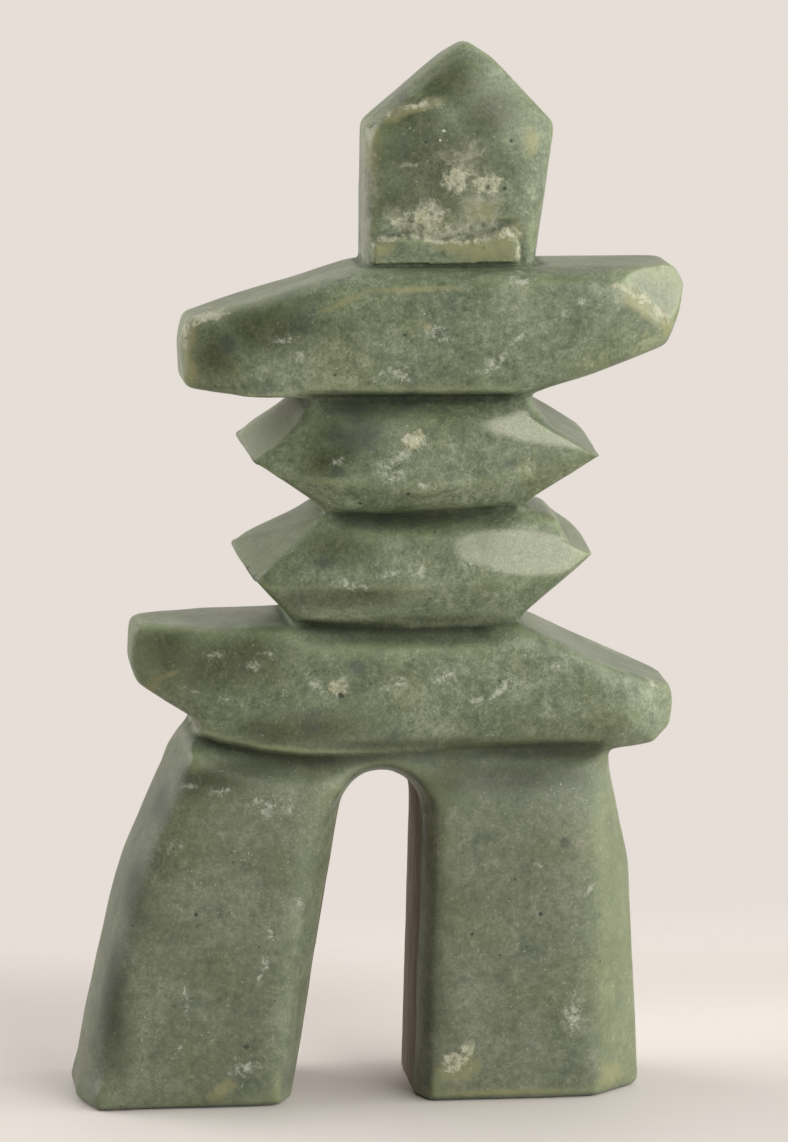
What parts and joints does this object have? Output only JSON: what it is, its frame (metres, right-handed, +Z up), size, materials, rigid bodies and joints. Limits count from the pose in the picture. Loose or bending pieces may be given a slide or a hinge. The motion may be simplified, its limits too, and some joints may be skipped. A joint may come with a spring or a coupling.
{
  "type": "inuit inukshuk sculpture",
  "caption": "Small inukshuk figure of stacked stones on two legs, carved from a single block of polished green stone, with a pointed head and a broken ledge at its foot",
  "frame": {"origin": "on the ground between the two feet, under the middle of the figure's whole width and of its thickness", "axes": "X runs to the right along the arms as seen from the front, Y runs to the back through the thickness, Z runs up the figure"},
  "size_m": [0.0918, 0.0272, 0.1582],
  "materials": {
    "green_stone": "satin"
  },
  "bodies": {
    "root": {"inukshuk": "green_stone"}
  },
  "joints": []
}
